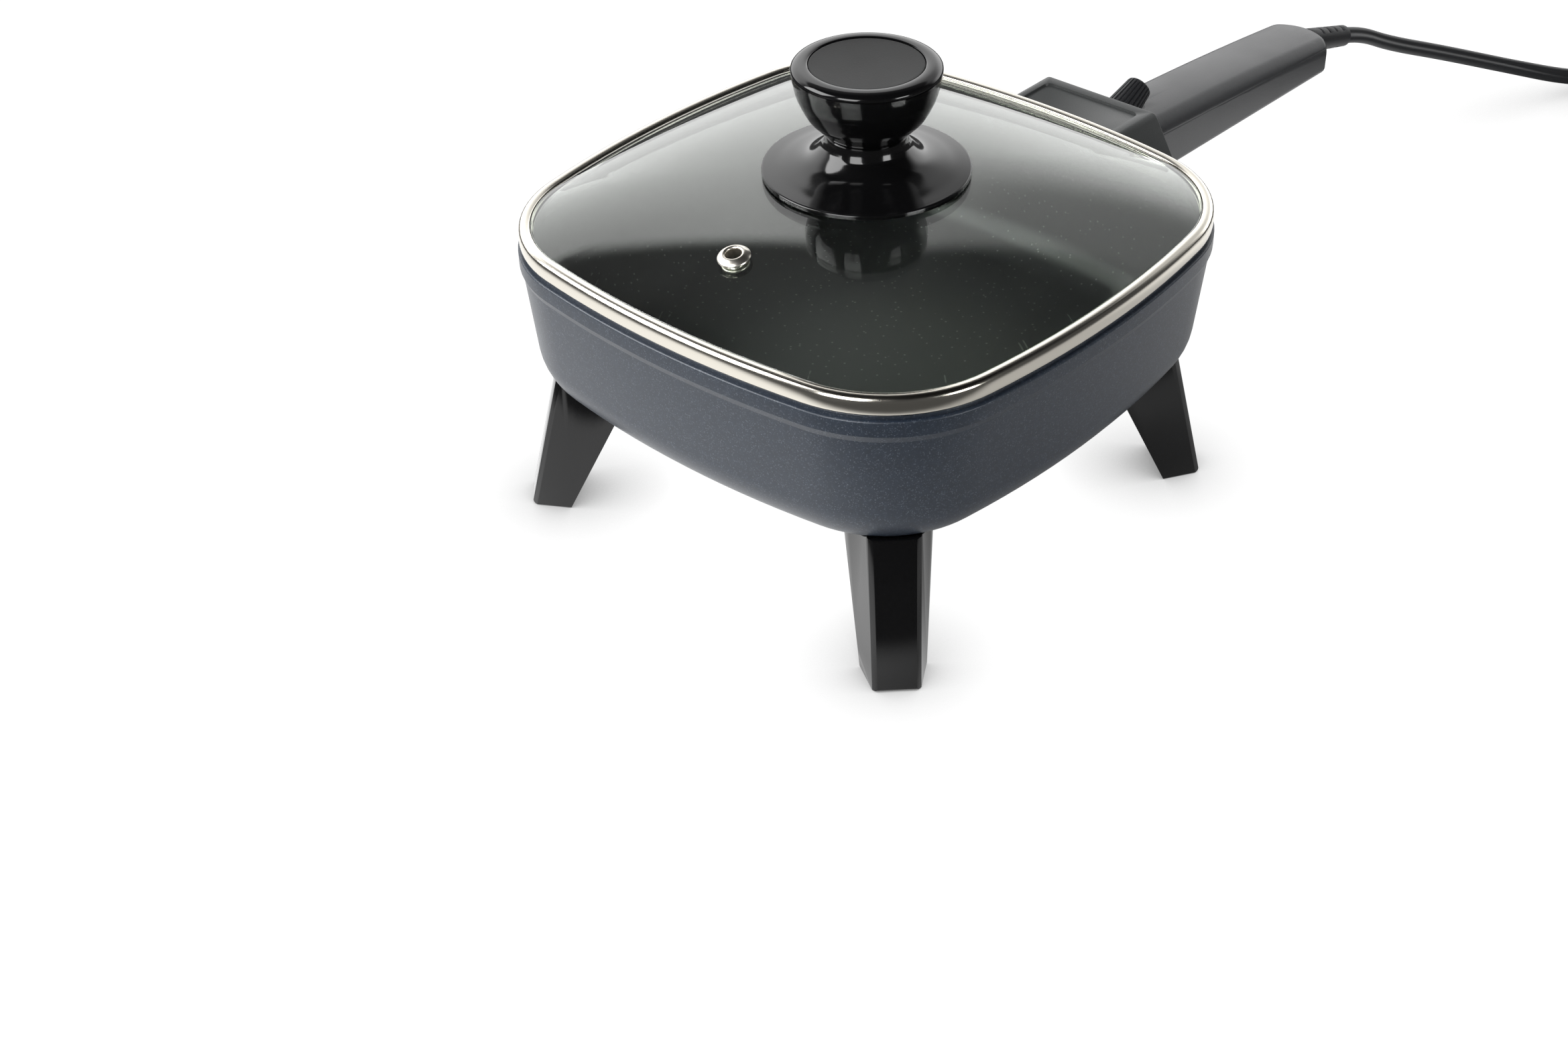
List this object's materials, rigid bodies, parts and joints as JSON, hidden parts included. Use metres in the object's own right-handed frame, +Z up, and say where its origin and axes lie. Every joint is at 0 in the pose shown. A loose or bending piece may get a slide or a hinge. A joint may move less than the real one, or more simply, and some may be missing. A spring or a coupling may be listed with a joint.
{
  "type": "electric skillet",
  "caption": "Small square electric skillet on splayed legs, with a lift-off glass lid, a plug-in temperature probe as its handle, and a mains cord.",
  "frame": {"origin": "on the floor, at the middle of the footprint of the skillet and its handle without the cord", "axes": "+X from the pan along the handle, +Z up; the pan's own axis is 84.25 mm towards -X of the origin"},
  "size_m": [0.5706, 0.2836, 0.1512],
  "materials": {
    "pan_coating": "satin, fine metallic fleck",
    "heater_sheath": "dull",
    "plated_pin": "polished",
    "leg_gloss": "gloss",
    "screw_steel": "plated",
    "guard_plastic": "satin",
    "rim_steel": "polished",
    "lid_glass": "clear",
    "knob_gloss": "gloss",
    "disc_matte": "matte",
    "washer_rubber": "matte",
    "handle_plastic": "satin",
    "insulator": "matte",
    "brass_contact": "plain",
    "dial_matte": "matte",
    "cord_rubber": "matte",
    "tie_black": "satin"
  },
  "bodies": {
    "base": {"pan": "pan_coating", "heating_element": "heater_sheath", "terminal_pins": "plated_pin", "sensor_sleeve": "plated_pin", "leg_1": "leg_gloss", "leg_2": "leg_gloss", "leg_3": "leg_gloss", "leg_4": "leg_gloss", "leg_screws": "screw_steel", "socket_guard": "guard_plastic", "guard_screws": "screw_steel"},
    "lid": {"lid_rim": "rim_steel", "lid_glass": "lid_glass", "vent_grommet": "rim_steel", "knob_flange": "knob_gloss", "lid_knob": "knob_gloss", "knob_top_disc": "disc_matte", "knob_screw": "screw_steel", "knob_washer": "washer_rubber"},
    "probe": {"probe_upper_shell": "handle_plastic", "probe_lower_shell": "handle_plastic", "shell_screws": "screw_steel", "terminal_block": "insulator", "contact_sockets": "brass_contact", "sensor_rod": "plated_pin", "thermostat_body": "insulator", "strain_relief": "cord_rubber", "cord_run": "cord_rubber", "cord_coil": "cord_rubber", "cord_tail": "cord_rubber", "cord_tie": "tie_black", "plug_body": "cord_rubber", "plug_blades": "brass_contact"},
    "dial": {"temperature_dial": "dial_matte", "dial_shaft": "screw_steel"}
  },
  "joints": [
    {"name": "lid_lift", "type": "slide", "parent": "base", "child": "lid", "axis": [0, 0, 1], "range_m": [0, 0.12]},
    {"name": "probe_pull", "type": "slide", "parent": "base", "child": "probe", "axis": [1, 0, 0], "range_m": [0, 0.08]},
    {"name": "dial_turn", "type": "hinge", "parent": "probe", "child": "dial", "pos_m": [0.04894, 0, 0.07995], "axis": [0.9003, 0, 0.4352], "range_deg": [0, 270]}
  ]
}
